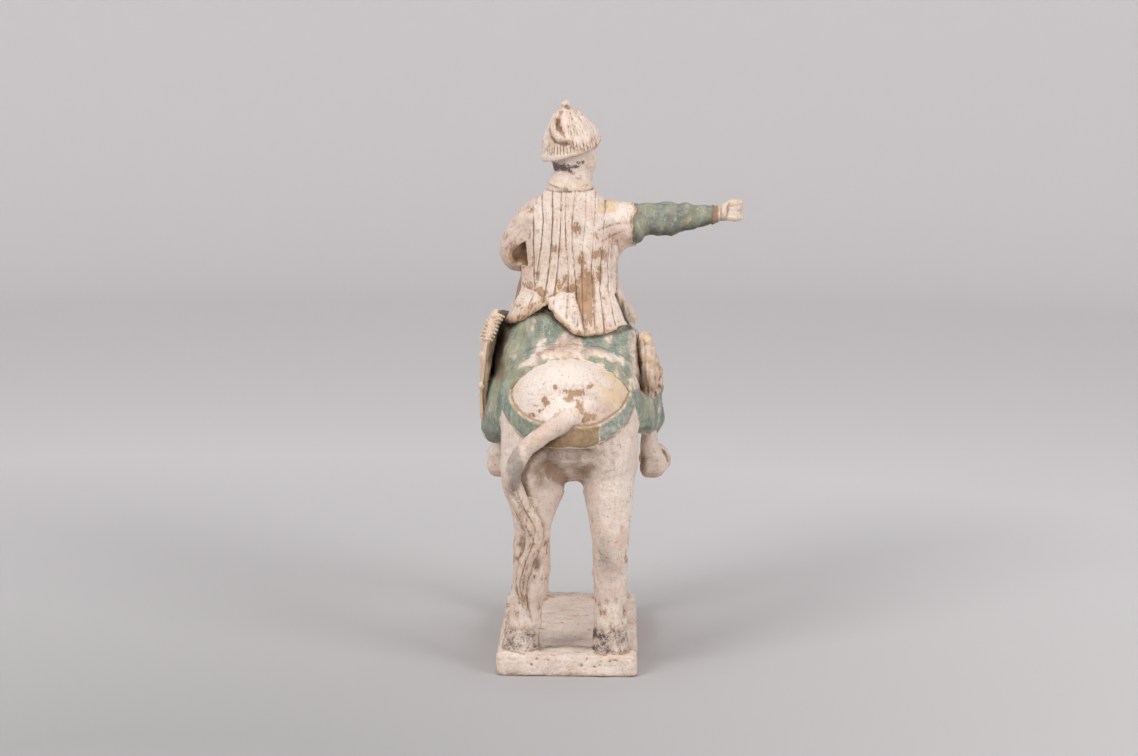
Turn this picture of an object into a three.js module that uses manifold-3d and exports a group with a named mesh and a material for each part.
// Painted terracotta figure of a horse and rider on a slab, in millimetres.
// The origin is the centre of the slab's underside, +Z is up, and the horse faces +Y.
// The rider's right hand side is +X.
import * as THREE from 'three';
import { LoftGeometry } from 'three/addons/geometries/LoftGeometry.js';
import { mergeVertices } from 'three/addons/utils/BufferGeometryUtils.js';
import Module from 'manifold-3d';

const wasm = await Module();
wasm.setup();

// Driving dimensions of the slab
const SLAB_WIDTH = 116;
const SLAB_LENGTH = 232;
const SLAB_HEIGHT = 18;
const SLAB_CORNER = 6;
const SLAB_EDGE = 2.5;

// How far the raised work stands off the skin under it
const BAND_RELIEF = 2.6;
const FLAP_RELIEF = 3.2;

// Sections of the horse's trunk, from buttocks to chest:
// [along, centre height, half width, half height]
const TRUNK = [
  [-119, 203, 15, 14],
  [-114, 203.5, 27, 25],
  [-107, 203.5, 38, 36.5],
  [-98, 204.5, 47, 45.5],
  [-84, 206, 55, 52],
  [-58, 207.5, 58, 52.5],
  [-22, 206, 54, 50],
  [24, 205, 52, 48],
  [66, 208, 52, 49],
  [94, 213, 46, 45],
  [110, 218, 30, 30],
  [117, 220, 10, 10],
];
const TRUNK_LOFT = { steps: 11, count: 18, squareness: 2.15, dome: 0.2 };
const CRUPPER_CENTRE = [1, 238];
const CRUPPER_OUTER = [62, 45];
const CRUPPER_INNER = [53, 29];

// Sections of the legs from the body down: [across, along, height, half width, half depth]
const HIND_LEFT = [
  [-28, -77, 204, 28, 34],
  [-29, -81, 170, 28, 31],
  [-28.5, -85, 152, 25.5, 25],
  [-29.6, -93, 124, 15.8, 18],
  [-31, -98.5, 103, 14.5, 15.6],
  [-32, -98, 80, 13.6, 12.4],
  [-35.5, -96, 50, 14, 13],
  [-38.5, -93, 27, 15, 17],
  [-38.5, -92, 11, 15.5, 20],
];
const HIND_RIGHT = [
  [28, -77, 204, 29, 34],
  [30.5, -81, 170, 27, 31],
  [33.2, -85, 152, 21, 25],
  [34.7, -93, 124, 16.8, 18],
  [35.4, -98.5, 103, 14.6, 15.6],
  [35.7, -98, 80, 13.7, 12.4],
  [35.8, -96, 50, 13.8, 13],
  [35.2, -93, 27, 14.4, 17],
  [36.4, -92, 11, 15.5, 20],
];
const FORE_RIGHT = [
  [31, 80, 204, 22, 27],
  [32, 86, 168, 19, 21],
  [32.5, 91, 132, 14.5, 15],
  [32, 92, 102, 13.6, 14.5],
  [31.5, 91, 76, 12.2, 12],
  [31.5, 91, 48, 12.3, 13],
  [35, 93, 26, 14.4, 16],
  [38, 94, 11, 15.4, 18.5],
];

// Joints of one ear, [across, along, height, half width, half depth], and the mane's crest
const EAR = [
  [8, 106, 342, 5.5, 3],
  [10, 106, 356, 4.5, 2.6],
  [9.5, 108, 366, 1.2, 1.2],
];
const CREST = [
  [0, 62, 262],
  [0, 74, 292],
  [0, 86, 322],
  [0, 100, 348],
  [0, 116, 354],
];
const CREST_SIZE = [4.5, 6.5];

// Places and radii of the horse's right eye, cheek and nostril
const HORSE_EYE = [[12.6, 128, 324], [3.4, 5, 4]];
const HORSE_CHEEK = [[10.5, 117, 309], [5, 11, 12]];
const HORSE_NOSTRIL = [[6.5, 156, 262], [3.4, 4, 4.4]];

// Neck from the withers up, and head from the poll to the muzzle:
// [along, height, half width, half depth]
const NECK = [
  [78, 216, 34, 37],
  [96, 252, 26, 34],
  [104, 286, 19, 28],
  [109, 318, 16, 23],
  [113, 338, 13, 16],
];
const HORSE_HEAD = [
  [100, 338, 11, 14],
  [115, 331, 14.6, 19],
  [129, 313, 14.2, 20],
  [140, 294, 11.2, 14.5],
  [148, 275, 9.8, 11.5],
  [151, 262, 9.4, 10],
];

// Tail, from the blunt root to the tress on the left hind leg: [across, along, height, radius]
const TAIL = [
  [3, -118, 218.5, 8],
  [-8, -123, 211.5, 7.8],
  [-24, -127.5, 202, 7.6],
  [-38, -127, 188.5, 7.4],
  [-47, -125, 170, 7.8],
  [-42, -115, 150, 8.6],
  [-28, -110, 122, 9.4],
  [-33, -110, 96, 8],
  [-37, -108, 76, 6.6],
  [-34, -106, 56, 3.6],
];

// Robe over saddle and thighs: [along, top height, bottom height, half width at the widest]
const ROBE = [
  [-84, 254, 222, 53],
  [-76, 260, 211, 58.5],
  [-62, 267, 200, 65],
  [-48, 275, 190, 71],
  [-36, 293, 184, 75],
  [-10, 300, 178, 78],
  [26, 288, 179, 78],
  [46, 274, 188, 70],
  [58, 260, 206, 54],
];

// Half of the robe's section: [share of the half width, share of the height]
const ROBE_OUTLINE = [
  [0, 0],
  [0.5, 0],
  [0.9, 0.01],
  [0.98, 0.13],
  [0.95, 0.32],
  [0.88, 0.57],
  [0.78, 0.72],
  [0.66, 0.86],
  [0.4, 0.97],
  [0, 1],
];
const ROBE_POINTS = 9;
const ROBE_ROWS = 8;

// The rider's leg under the robe, from hip to knee, and the two shins it ends in
const THIGH = [
  [28, -6, 262, 24, 20],
  [47, 28, 253, 18, 16],
  [59, 52, 241, 15, 15],
];
const LEFT_SHIN = [
  [64, 44, 212, 14, 14],
  [65, 24, 186, 12, 12.5],
];
const RIGHT_SHIN = [
  [66, 44, 213, 14, 14],
  [70.5, 26, 193, 9.5, 11],
  [69.5, 22, 181, 5, 8],
];

// On the rider's right the hem of the robe lies higher; the rise grows between two places along
const ROBE_RIGHT_RISE = 11;
const ROBE_RISE_ALONG = [-60, -30];

// The robe is pressed in beside the bow case and the quiver:
// [height, reach to the rider's left, reach to the right], and where along it the pressing ends
const ROBE_REACH = [
  [216, 90, 90],
  [228, 68, 57],
  [240, 66, 57],
  [259, 62, 57],
  [281, 55, 53],
  [302, 52, 52],
];
const ROBE_PRESSED = -10;
const ROBE_FREE = 25;

// Coat from the hem to the neck: [height, centre across, half width, half depth]
const COAT = [
  [272, -1, 58, 48.5],
  [284, -1, 53, 44],
  [298, -1.5, 48.2, 39],
  [311, -2, 44.5, 33.5],
  [323, -2, 41.6, 30],
  [336, -1.6, 41.4, 28.5],
  [352, -1, 40.5, 27.5],
  [366, -1, 39.5, 26],
  [379, -1.5, 36, 23],
  [389, -2, 26, 20],
  [397, -1.5, 18.5, 17],
  [404, -1, 15, 15],
];
const COAT_ALONG = -3;
const COAT_SQUARENESS = 2.5;
const COLLAR = [
  [-3, -2, 395, 19.6, 20.6],
  [-2, -2, 398.4, 17.6, 18.6],
  [1.6, -1, 402.4, 13.8, 14.8],
];
const FRONT_TAIL = [
  [38, 12, 307, 7, 3.5],
  [46, 13, 294, 10, 4.2],
  [52.5, 14, 282, 11, 4.4],
];

// Seen from behind, [across, height]: the coat's hem from the rider's left to right, and the two
// turned-up flaps above it
const HEM = [
  [-75, 276],
  [-56, 280.5],
  [-42, 288],
  [-21.4, 303],
  [-13, 290],
  [0, 280],
  [12, 275.5],
  [25, 276.5],
  [50, 282],
  [75, 288],
];
const LEFT_FLAP = [
  [-38, 313],
  [-21.4, 303],
  [-34, 295],
  [-57, 280.5],
];
const RIGHT_FLAP = [
  [-20, 305],
  [4.5, 308],
  [6.5, 294],
  [12, 276],
  [0, 280],
  [-13, 290],
];
const FRONT_HEM = 277;
const HEM_FLOOR = 240;

// Arms: [across, along, height, half depth, half height]
const LEFT_SLEEVE = [
  [-8, -3, 383, 14, 12],
  [-27, -3, 371, 16.5, 16.5],
  [-41, -3, 355, 15, 16],
  [-48, 1, 341, 13.5, 13.5],
  [-46, 14, 334, 13, 12.5],
];
const LEFT_FOREARM = [
  [-47, 6, 337, 9, 9],
  [-42, 26, 331, 8.5, 8.5],
  [-28, 42, 326, 7, 7],
  [-20, 48, 325, 6.5, 6.5],
];
const RIGHT_SLEEVE = [
  [10, -3, 372, 18, 15],
  [30, -2, 366.5, 19.5, 18.5],
  [46, -1, 364.6, 17.5, 18.4],
  [56, 0, 367, 15.6, 15.8],
];
const RIGHT_WEB = [
  [31, -2, 331, 13, 6],
  [35.5, -2, 344, 14, 7.5],
  [41.9, -1.5, 352, 14, 8],
  [48.5, -1, 358.5, 13, 7],
];
const RIGHT_FOREARM = [
  [50, 0, 367.5, 14.6, 15],
  [66, 1, 368.3, 14.4, 15],
  [80, 2, 369.4, 13.4, 14.2],
  [93, 3, 371, 11.6, 12.4],
  [105, 4, 371.6, 9.8, 10.2],
  [119, 5, 373.2, 7.4, 7.8],
];
const RIGHT_HAND = [
  [116, 5, 373.4, 5.6, 5.8],
  [124, 5, 373.6, 6.4, 6.2],
  [131, 5, 375.6, 8.4, 7.8],
  [140, 5, 377.6, 9, 9.3],
  [145, 5, 377.6, 7, 7],
];

const FOREARM_ROWS = 12;
const FOREARM_SIDES = 10;
const FOREARM_FOLDS = 6.5;
const FOLD_SWELL = 0.045;

// One finger of the right fist, at the height of the lowest, and the step up to the next
const FINGER = [
  [134, -3, 371.6, 2.6, 2.6],
  [141, -3.5, 371.6, 2.8, 2.8],
  [144.6, 1, 371.6, 2.6, 2.6],
  [142, 8, 371.6, 2.4, 2.4],
];
const FINGER_STEP = 4;

// Places and radii of the left sleeve's hollow fold and of the left hand
const SLEEVE_HOLLOW = [[-45, -13, 337], [8, 9, 8.5]];
const LEFT_HAND = [[-13, 53, 325], [8.5, 7.5, 8.5]];

// Rider's head, hat and hair
const HEAD_CENTRE = [1, 4, 419];
const SKULL_CENTRE = [1, 4, 421.5];
const SKULL_RADII = [18.6, 21.5, 22];
const HEAD_TURN = -35;
const JAW_PLACE = [0, 9, -13];
const JAW_RADII = [11.5, 11, 11.5];
const EAR_PLACE = [18.2, 0, -2];
const EAR_RADII = [2.2, 4, 7];
const RIDER_NECK = [
  [1, -3, 386, 13, 14],
  [4, -2, 400, 11.8, 12.6],
  [4, 2, 412, 13.4, 14],
];
const NOSE = [
  [0, 20, 6, 1.8, 2],
  [0, 23.5, -2, 2.8, 2.4],
  [0, 23, -6, 3.2, 1.6],
];
const HAT_BRIM = [-0.8, 1, 425.6];
const HAT_APEX = [-5.6, -1, 463];
const HAT_RADIUS = 26.5;
const HAT_ROLL = 17;
const HAT_TIP_BACK = 7;
const HAT_FLUTES = 18;
const HAT_ROWS = 5;
const HAT_CUT = 0.035;
const HAT_KNOB = [[-6.2, -1, 465.5], [4.4, 4.4, 4.8]];

// The hat's side, from brim to apex: [share of the height, share of the radius]
const HAT_PROFILE = [
  [0, 0.95],
  [0.06, 1],
  [0.24, 0.95],
  [0.46, 0.83],
  [0.7, 0.63],
  [0.88, 0.41],
  [1, 0.2],
];
const LAPPET = [
  [-14.6, -13.5, 455, 2.2, 1.8],
  [-16, -16.5, 447.4, 3, 2.9],
  [-13.8, -19.6, 441, 3.2, 3.2],
  [-9.2, -21.8, 437.5, 3, 2.9],
  [-3.6, -22.8, 436.7, 2, 1.6],
];

// Boot: shaft and foot as [along, height, half width, half depth], how far each station of the shaft
// lies inside the foot, and the places of the two boots
const BOOT_SHAFT = [
  [16, 194, 6.4, 11],
  [17, 174, 7.2, 11.5],
  [18, 164, 9.6, 12.6],
  [19, 154, 9.8, 13],
];
const BOOT_SHAFT_IN = [3, 2.6, 0.4, 0];
const BOOT_FOOT = [
  [6, 154, 10.6, 9.6],
  [24, 155, 11, 10.2],
  [44, 152.5, 9.8, 7.6],
  [58, 153, 6, 5.6],
];
const LEFT_BOOT = { x: -62, ringX: -62, ringHalfWide: 10.8 };
const RIGHT_BOOT = { x: 70.2, ringX: 73.4, ringHalfWide: 12 };
const STIRRUP_ALONG = 27;
const STIRRUP_HEIGHT = 158.5;
const STIRRUP_HALF_TALL = 11;
const STIRRUP_WIRE = [2.3, 3.2];

// Bow case: the leaf, its pleated upper edge and two knobs on its rear edge
const BOW_CASE = [
  [-62, -20, 290, 4.5, 20],
  [-68, -25, 273, 5.5, 27],
  [-71, -26, 250, 4.6, 28],
  [-73, -24, 226, 3.6, 25],
  [-72.5, -20, 204, 3.4, 20],
  [-71, -16, 187, 3, 13],
];
// The wall of clay that joins the bow case to the robe
const CASE_WEB = [
  [-57, -8, 290, 7, 3],
  [-60, -8, 275, 9, 3],
  [-62, -8, 256, 10, 3],
];
const PLEAT = [
  [-57, -41, 290, 3.2, 2],
  [-64, -43, 291.5, 3, 2.2],
];
const PLEAT_SHIFT = [-8.5, -8, -18];
const PLEATS = 5;
const CASE_KNOBS = [[-75.5, -50, 255], [-76, -50, 230]];
const CASE_KNOB_RADIUS = 4;

// Quiver: the tube, its end knob and the bulging lobes along its outer edge
const QUIVER = [
  [63, -20, 274, 6.5, 12],
  [66.5, -25, 258, 8, 16],
  [69, -27, 240, 9, 18],
  [68.8, -28, 226, 7, 14],
  [68, -30, 217.5, 4.5, 9],
];
const QUIVER_KNOB = [[65, -28, 273], [5.8, 8, 5]];
const QUIVER_LOBES = 5;
const LOBE_PLACE = [66.5, -30, 266];
const LOBE_DROP = 44;
const LOBE_BULGE = 9;
const LOBE_RADII = [4.4, 10, 4.8];

const SIDES = [-1, 1];

// Ends of the cutting outlines along the figure
const BEHIND = -90;
const AHEAD = 90;
const REAR_END = -130;
const REAR_START = -40;

// Where a limb's domed end is cut flat, in radians up its quarter circle
const DOME_ANGLE = 0.85;

// Points round a squared oval in the plane of two directions
function oval(centre, across, up, halfAcross, halfUp, count, squareness) {
  const points = [];
  for (let step = 0; step < count; step += 1) {
    const angle = (step / count) * Math.PI * 2;
    const cosine = Math.cos(angle);
    const sine = Math.sin(angle);
    const x = Math.sign(cosine) * Math.abs(cosine) ** (2 / squareness) * halfAcross;
    const y = Math.sign(sine) * Math.abs(sine) ** (2 / squareness) * halfUp;
    points.push(centre.clone().addScaledVector(across, x).addScaledVector(up, y));
  }
  return points;
}

// A smooth closed limb through stations [x, y, z, half across, half up], with domed ends
function limb(stations, options) {
  const { steps, count, side = [1, 0, 0], squareness = 2, dome = 0.6 } = options;
  const centres = new THREE.CatmullRomCurve3(stations.map(([x, y, z]) => new THREE.Vector3(x, y, z)));
  const radii = new THREE.CatmullRomCurve3(stations.map(([, , , a, b]) => new THREE.Vector3(a, b ?? a, 0)));
  const reference = new THREE.Vector3(...side);
  const rings = [];
  const addRing = (place, shift, shrink) => {
    const centre = centres.getPoint(place);
    const forward = centres.getTangent(place);
    const across = reference.clone().addScaledVector(forward, -reference.dot(forward)).normalize();
    const up = new THREE.Vector3().crossVectors(forward, across);
    const radius = radii.getPoint(place);
    centre.addScaledVector(forward, shift * Math.min(radius.x, radius.y) * dome);
    rings.push(oval(centre, across, up, radius.x * shrink, radius.y * shrink, count, squareness));
  };
  addRing(0, -Math.sin(DOME_ANGLE), Math.cos(DOME_ANGLE));
  for (let step = 0; step <= steps; step += 1) {
    addRing(step / steps, 0, 1);
  }
  addRing(1, Math.sin(DOME_ANGLE), Math.cos(DOME_ANGLE));
  return solid(new LoftGeometry(rings, { capStart: true, capEnd: true }));
}

// A closed geometry as a solid that can be joined and cut
function solid(geometry) {
  const bare = new THREE.BufferGeometry();
  bare.setAttribute('position', geometry.getAttribute('position'));
  bare.setIndex(geometry.getIndex());
  const merged = mergeVertices(bare, 1e-3);
  const mesh = new wasm.Mesh({
    numProp: 3,
    vertProperties: Float32Array.from(merged.getAttribute('position').array),
    triVerts: Uint32Array.from(merged.getIndex().array),
  });
  return new wasm.Manifold(mesh);
}

// A ball stretched to three radii, turned about the vertical and moved to its place
function ball(centre, radii, turn, segments) {
  const geometry = new THREE.SphereGeometry(1, segments, Math.round(segments * 0.7));
  geometry.scale(...radii);
  geometry.rotateZ(THREE.MathUtils.degToRad(turn));
  geometry.translate(...centre);
  return solid(geometry);
}

// Stations of the rider's right side, moved to the given side
function onSide(stations, side) {
  return stations.map(([x, ...rest]) => [side * x, ...rest]);
}

// A flat outline in the X and Z plane, carried from one Y to another
function prism(outline, from, to) {
  const shape = new THREE.Shape(outline.map(([x, z]) => new THREE.Vector2(x, z)));
  const geometry = new THREE.ExtrudeGeometry(shape, { depth: to - from, bevelEnabled: false });
  geometry.rotateX(Math.PI / 2);
  geometry.translate(0, to, 0);
  return solid(geometry);
}

// A round bar along a path of points, with the section flattened if wanted
function bar(points, halfWide, halfThick, steps, sides) {
  const path = new THREE.CatmullRomCurve3(points.map((point) => new THREE.Vector3(...point)));
  const section = new THREE.Shape();
  section.absellipse(0, 0, halfWide, halfThick, 0, Math.PI * 2);
  const geometry = new THREE.ExtrudeGeometry(section, {
    steps,
    curveSegments: sides / 2,
    extrudePath: path,
    bevelEnabled: false,
  });
  return solid(geometry);
}

function join(pieces) {
  return pieces.reduce((whole, piece) => whole.add(piece));
}

function slab() {
  const outline = new THREE.Shape();
  const x = SLAB_WIDTH / 2 - SLAB_EDGE;
  const y = SLAB_LENGTH / 2 - SLAB_EDGE;
  const r = SLAB_CORNER - SLAB_EDGE;
  outline.absarc(x - r, y - r, r, 0, Math.PI / 2);
  outline.absarc(-x + r, y - r, r, Math.PI / 2, Math.PI);
  outline.absarc(-x + r, -y + r, r, Math.PI, Math.PI * 1.5);
  outline.absarc(x - r, -y + r, r, Math.PI * 1.5, Math.PI * 2);
  const geometry = new THREE.ExtrudeGeometry(outline, {
    depth: SLAB_HEIGHT - 2 * SLAB_EDGE,
    bevelThickness: SLAB_EDGE,
    bevelSize: SLAB_EDGE,
    bevelSegments: 1,
    curveSegments: 3,
  });
  geometry.translate(0, 0, SLAB_EDGE);
  return solid(geometry);
}

// The trunk, with its skin moved outward by a relief
function trunk(relief = 0) {
  const stations = TRUNK.map(([y, z, wide, tall]) => [0, y, z, wide + relief, tall + relief]);
  return limb(stations, TRUNK_LOFT);
}

function legs() {
  const options = { steps: 7, count: 10, dome: 0.1 };
  const each = [HIND_LEFT, HIND_RIGHT, onSide(FORE_RIGHT, -1), FORE_RIGHT];
  return join(each.map((stations) => limb(stations, options)));
}

function horseNeckAndHead() {
  const neck = limb(NECK.map(([y, z, wide, deep]) => [0, y, z, wide, deep]), { steps: 5, count: 10 });
  const head = limb(HORSE_HEAD.map(([y, z, wide, deep]) => [0, y, z, wide, deep]), { steps: 6, count: 10 });
  const pieces = [neck, head, bar(CREST, ...CREST_SIZE, 5, 6)];
  for (const side of SIDES) {
    pieces.push(limb(onSide(EAR, side), { steps: 2, count: 5 }));
    for (const [[x, y, z], radii] of [HORSE_EYE, HORSE_CHEEK, HORSE_NOSTRIL]) {
      pieces.push(ball([side * x, y, z], radii, 0, 6));
    }
  }
  return join(pieces);
}

// The harness strap round the buttocks, an arc when seen from behind
function crupper() {
  const outer = [];
  const inner = [];
  const arcSteps = 8;
  const [x, z] = CRUPPER_CENTRE;
  for (let step = 0; step <= arcSteps; step += 1) {
    const angle = Math.PI * (1 + step / arcSteps);
    outer.push([x + CRUPPER_OUTER[0] * Math.cos(angle), z + CRUPPER_OUTER[1] * Math.sin(angle)]);
    inner.unshift([x + CRUPPER_INNER[0] * Math.cos(angle), z + CRUPPER_INNER[1] * Math.sin(angle)]);
  }
  return trunk(BAND_RELIEF).intersect(prism([...outer, ...inner], REAR_END, REAR_START));
}

function tail() {
  return limb(TAIL, { steps: 13, count: 8, side: [0, 1, 0], dome: 0.8 });
}

// How far out the robe may reach at a height and a place along, on the side of the given column
function robeReach(height, y, column) {
  const after = ROBE_REACH.findIndex(([z]) => z > height);
  if (after < 1) {
    return ROBE_REACH[after < 0 ? ROBE_REACH.length - 1 : 0][column];
  }
  const [low, high] = [ROBE_REACH[after - 1], ROBE_REACH[after]];
  const reach = THREE.MathUtils.mapLinear(height, low[0], high[0], low[column], high[column]);
  const free = THREE.MathUtils.smoothstep(y, ROBE_PRESSED, ROBE_FREE);
  return THREE.MathUtils.lerp(reach, ROBE_REACH[0][column], free);
}

// The robe over saddle and thighs: one half outline, narrow on top and flaring to its hem
function robe() {
  const half = new THREE.SplineCurve(ROBE_OUTLINE.map(([x, z]) => new THREE.Vector2(x, z)));
  const outline = half.getPoints(ROBE_POINTS).slice(1, -1);
  const extents = ROBE.map(([, top, low, wide]) => new THREE.Vector3(top, low, wide));
  const sizes = new THREE.CatmullRomCurve3(extents);
  const places = new THREE.SplineCurve(ROBE.map(([y]) => new THREE.Vector2(y, 0)));
  const rings = [];
  for (let row = 0; row <= ROBE_ROWS; row += 1) {
    const { x: top, y: low, z: wide } = sizes.getPoint(row / ROBE_ROWS);
    const y = places.getPoint(row / ROBE_ROWS).x;
    const heights = outline.map((point) => low + (top - low) * point.y);
    const rise = ROBE_RIGHT_RISE * THREE.MathUtils.smoothstep(y, ...ROBE_RISE_ALONG);
    const right = outline.map(({ x, y: share }, i) => {
      const height = heights[i] + rise * (1 - share) ** 2;
      return new THREE.Vector3(Math.min(wide * x, robeReach(height, y, 2)), y, height);
    });
    const left = outline.map(({ x }, i) => {
      return new THREE.Vector3(-Math.min(wide * x, robeReach(heights[i], y, 1)), y, heights[i]);
    }).reverse();
    const bottom = new THREE.Vector3(0, y, low);
    const crown = new THREE.Vector3(0, y, top);
    rings.push([crown, ...right.reverse(), bottom, ...left.reverse()]);
  }
  const pieces = [solid(new LoftGeometry(rings, { capStart: true, capEnd: true }))];
  for (const side of SIDES) {
    pieces.push(limb(onSide([...THIGH, ...(side < 0 ? LEFT_SHIN : RIGHT_SHIN)], side), { steps: 5, count: 8 }));
  }
  return join(pieces);
}

// The coat's body, with its skin moved outward by a relief
function coatBody(relief = 0) {
  const stations = COAT.map(([z, x, wide, deep]) => [x, COAT_ALONG, z, wide + relief, deep + relief]);
  return limb(stations, { steps: 9, count: 18, squareness: COAT_SQUARENESS, dome: 0.05 });
}

function coat() {
  const underHem = prism([...HEM, [75, HEM_FLOOR], [-75, HEM_FLOOR]], BEHIND, COAT_ALONG + 4);
  const frontCorners = [[-80, FRONT_HEM], [80, FRONT_HEM], [80, HEM_FLOOR], [-80, HEM_FLOOR]];
  const underFront = prism(frontCorners, COAT_ALONG + 3, AHEAD);
  const body = coatBody().subtract(underHem).subtract(underFront);
  const patches = [LEFT_FLAP, RIGHT_FLAP].map((outline) => prism(outline, BEHIND, COAT_ALONG - 4));
  const flaps = coatBody(FLAP_RELIEF).intersect(join(patches));
  const collar = limb(COLLAR, { steps: 2, count: 12, dome: 0.02 });
  const frontTail = limb(FRONT_TAIL, { steps: 2, count: 6, side: [0, 1, 0], squareness: 3, dome: 0.1 });
  return join([body, flaps, collar, frontTail]);
}

function arms() {
  const sleeve = { steps: 4, count: 10, side: [0, 1, 0], dome: 0.25 };
  const leftSleeve = limb(LEFT_SLEEVE, sleeve).subtract(ball(...SLEEVE_HOLLOW, 0, 8));
  const leftForearm = limb(LEFT_FOREARM, { steps: 4, count: 6, side: [0, 0, 1] });
  const leftHand = ball(...LEFT_HAND, -30, 7);
  const rightSleeve = limb(RIGHT_SLEEVE, sleeve);
  const rightWeb = limb(RIGHT_WEB, { steps: 3, count: 8, side: [0, 1, 0], dome: 0.4 });
  return join([leftSleeve, leftForearm, leftHand, rightSleeve, rightWeb, twistedForearm(), rightHand()]);
}

// The right forearm's sleeve, gathered in folds that wind round it
function twistedForearm() {
  const rings = [];
  const centres = new THREE.CatmullRomCurve3(RIGHT_FOREARM.map(([x, y, z]) => new THREE.Vector3(x, y, z)));
  const radii = new THREE.CatmullRomCurve3(RIGHT_FOREARM.map(([, , , a, b]) => new THREE.Vector3(a, b, 0)));
  for (let row = 0; row <= FOREARM_ROWS; row += 1) {
    const place = row / FOREARM_ROWS;
    const centre = centres.getPoint(place);
    const radius = radii.getPoint(place);
    const points = [];
    for (let step = 0; step < FOREARM_SIDES; step += 1) {
      const angle = (step / FOREARM_SIDES) * Math.PI * 2;
      const swell = 1 + FOLD_SWELL * Math.sin(FOREARM_FOLDS * place * Math.PI * 2 - angle);
      points.push(new THREE.Vector3(
        centre.x,
        centre.y + radius.x * swell * Math.cos(angle),
        centre.z + radius.y * swell * Math.sin(angle),
      ));
    }
    rings.push(points);
  }
  return solid(new LoftGeometry(rings, { capStart: true, capEnd: true }));
}

function rightHand() {
  const pieces = [limb(RIGHT_HAND, { steps: 4, count: 8, side: [0, 1, 0], dome: 0.5 })];
  for (let finger = 0; finger < 4; finger += 1) {
    const stations = FINGER.map(([x, y, z, ...radii]) => [x, y, z + finger * FINGER_STEP, ...radii]);
    pieces.push(limb(stations, { steps: 2, count: 4, side: [0, 0, 1], dome: 0.3 }));
  }
  return join(pieces);
}

// The rider's head: skull, jaw, neck, nose and ears, turned to the right
function riderHead() {
  const turn = THREE.MathUtils.degToRad(HEAD_TURN);
  const place = (x, y, z) => [
    HEAD_CENTRE[0] + x * Math.cos(turn) - y * Math.sin(turn),
    HEAD_CENTRE[1] + x * Math.sin(turn) + y * Math.cos(turn),
    HEAD_CENTRE[2] + z,
  ];
  const nose = NOSE.map(([x, y, z, ...radii]) => [...place(x, y, z), ...radii]);
  const pieces = [
    ball(SKULL_CENTRE, SKULL_RADII, HEAD_TURN, 12),
    ball(place(...JAW_PLACE), JAW_RADII, HEAD_TURN, 8),
    limb(RIDER_NECK, { steps: 2, count: 12 }),
    limb(nose, { steps: 2, count: 5, dome: 0.6 }),
  ];
  const [x, y, z] = EAR_PLACE;
  for (const side of SIDES) {
    pieces.push(ball(place(side * x, y, z), EAR_RADII, HEAD_TURN, 6));
  }
  return join(pieces);
}

// The fluted hat: rings between a tilted brim and the apex, with cuts that fade upward
function hat() {
  const brim = new THREE.Vector3(...HAT_BRIM);
  const apex = new THREE.Vector3(...HAT_APEX);
  const roll = THREE.MathUtils.degToRad(HAT_ROLL);
  const tip = THREE.MathUtils.degToRad(HAT_TIP_BACK);
  const profile = new THREE.SplineCurve(HAT_PROFILE.map(([u, r]) => new THREE.Vector2(u, r)));
  const count = HAT_FLUTES * 2;
  const rings = [];
  for (let row = 0; row <= HAT_ROWS; row += 1) {
    const { x: rise, y: radius } = profile.getPoint(row / HAT_ROWS);
    const lean = 1 - 0.7 * rise;
    const across = new THREE.Vector3(Math.cos(roll * lean), 0, Math.sin(roll * lean));
    const along = new THREE.Vector3(0, Math.cos(tip * lean), Math.sin(tip * lean));
    const centre = brim.clone().lerp(apex, rise);
    const depth = row > 0 ? HAT_CUT * (1 - rise) : 0;
    const points = [];
    for (let step = 0; step < count; step += 1) {
      const angle = (step / count) * Math.PI * 2;
      const cut = step % 2 === 0 ? 1 : 1 - 2 * depth;
      const reach = HAT_RADIUS * radius * cut;
      points.push(centre.clone()
        .addScaledVector(across, reach * Math.cos(angle))
        .addScaledVector(along, reach * Math.sin(angle)));
    }
    rings.push(points);
  }
  const crown = solid(new LoftGeometry(rings, { capStart: true, capEnd: true }));
  const knob = ball(...HAT_KNOB, 0, 7);
  const lappet = limb(LAPPET, { steps: 6, count: 5, side: [0, 1, 0] });
  return join([crown, knob, lappet]);
}

// Boot and stirrup on one side
function bootAndStirrup({ x, ringX, ringHalfWide }) {
  const shaftX = (row) => x - Math.sign(x) * BOOT_SHAFT_IN[row];
  const shaft = limb(BOOT_SHAFT.map((station, row) => [shaftX(row), ...station]), { steps: 2, count: 8, dome: 0.3 });
  const foot = limb(BOOT_FOOT.map((station) => [x, ...station]), { steps: 4, count: 8, squareness: 2.6 });
  return join([shaft, foot, stirrup(ringX, ringHalfWide)]);
}

// A closed ring of flattened wire
function stirrup(ringX, ringHalfWide) {
  const steps = 10;
  const sides = 4;
  const along = new THREE.Vector3(0, 1, 0);
  const rings = [];
  for (let step = 0; step <= steps; step += 1) {
    const angle = ((step % steps) / steps) * Math.PI * 2;
    const outward = new THREE.Vector3(Math.cos(angle), 0, Math.sin(angle));
    const point = new THREE.Vector3(
      ringX + ringHalfWide * Math.cos(angle),
      STIRRUP_ALONG,
      STIRRUP_HEIGHT + STIRRUP_HALF_TALL * Math.sin(angle),
    );
    rings.push(oval(point, outward, along, ...STIRRUP_WIRE, sides, 2));
  }
  return solid(new LoftGeometry(rings));
}

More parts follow.
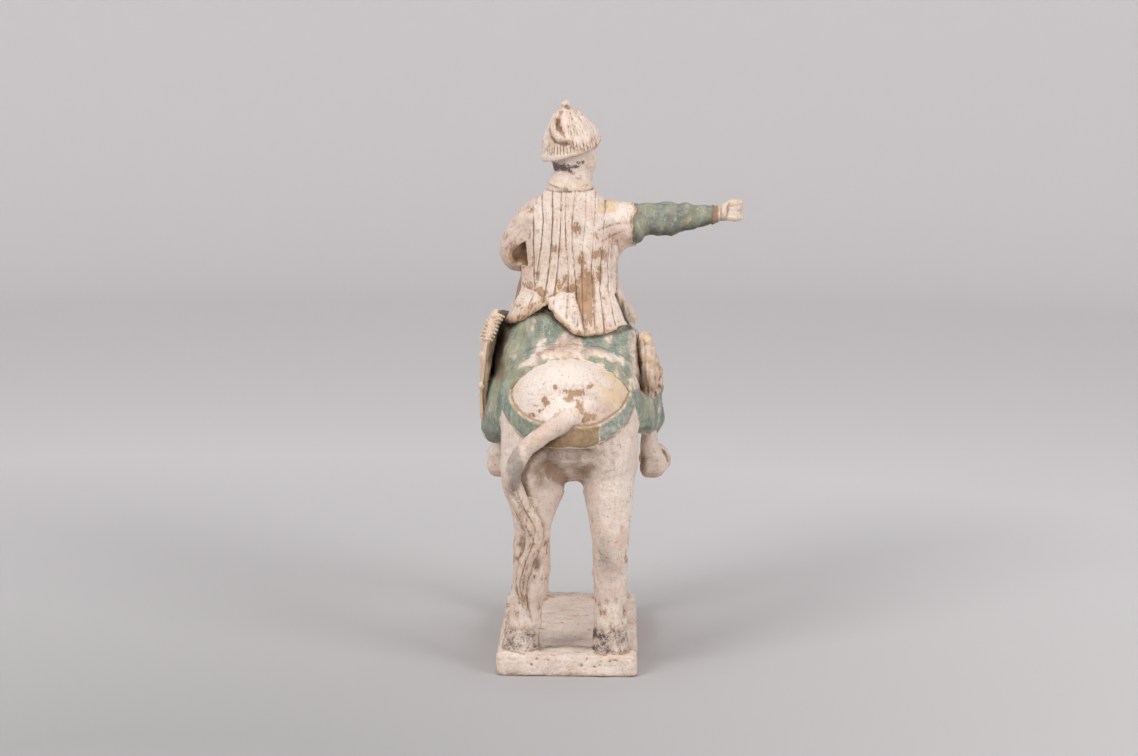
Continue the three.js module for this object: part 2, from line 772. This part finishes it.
// Bow case: a thin leaf at the rider's left, pleated along its rear edge
function bowCase() {
  const pieces = [limb(BOW_CASE, { steps: 5, count: 10, squareness: 2.6, dome: 0.3 })];
  pieces.push(limb(CASE_WEB, { steps: 2, count: 8 }));
  const [dx, dy, dz] = PLEAT_SHIFT;
  for (let pleat = 0; pleat < PLEATS; pleat += 1) {
    const place = pleat / (PLEATS - 1);
    const shifted = PLEAT.map(([x, y, z, a, b]) => [x + dx * place, y + dy * place, z + dz * place, a, b]);
    pieces.push(limb(shifted, { steps: 1, count: 4, side: [0, 1, 0] }));
  }
  const knobRadii = [CASE_KNOB_RADIUS, CASE_KNOB_RADIUS, CASE_KNOB_RADIUS];
  CASE_KNOBS.forEach((centre) => pieces.push(ball(centre, knobRadii, 0, 6)));
  return join(pieces);
}

// Quiver: a flattened tube at the rider's right with a lobed outer edge
function quiver() {
  const pieces = [limb(QUIVER, { steps: 5, count: 9, squareness: 2.3 }), ball(...QUIVER_KNOB, 0, 7)];
  const [x, y, z] = LOBE_PLACE;
  for (let lobe = 0; lobe < QUIVER_LOBES; lobe += 1) {
    const place = lobe / (QUIVER_LOBES - 1);
    const bulge = LOBE_BULGE * Math.sin(Math.PI * (0.18 + 0.62 * place));
    pieces.push(ball([x + bulge, y, z - LOBE_DROP * place], LOBE_RADII, 0, 6));
  }
  return join(pieces);
}

function figure() {
  const whole = join([
    slab(),
    trunk(),
    legs(),
    horseNeckAndHead(),
    crupper(),
    tail(),
    robe(),
    coat(),
    arms(),
    riderHead(),
    hat(),
    bootAndStirrup(LEFT_BOOT),
    bootAndStirrup(RIGHT_BOOT),
    bowCase(),
    quiver(),
  ]);
  const { vertProperties, triVerts } = whole.getMesh();
  const geometry = new THREE.BufferGeometry();
  geometry.setAttribute('position', new THREE.BufferAttribute(vertProperties, 3));
  geometry.setIndex(new THREE.BufferAttribute(triVerts, 1));
  const clay = new THREE.MeshStandardMaterial({ color: 0xe3cfb8, roughness: 0.9, metalness: 0 });
  const mesh = new THREE.Mesh(geometry, clay);
  mesh.name = 'horse_and_rider_figure';
  return mesh;
}

const group = new THREE.Group();
group.add(figure());

export default group;
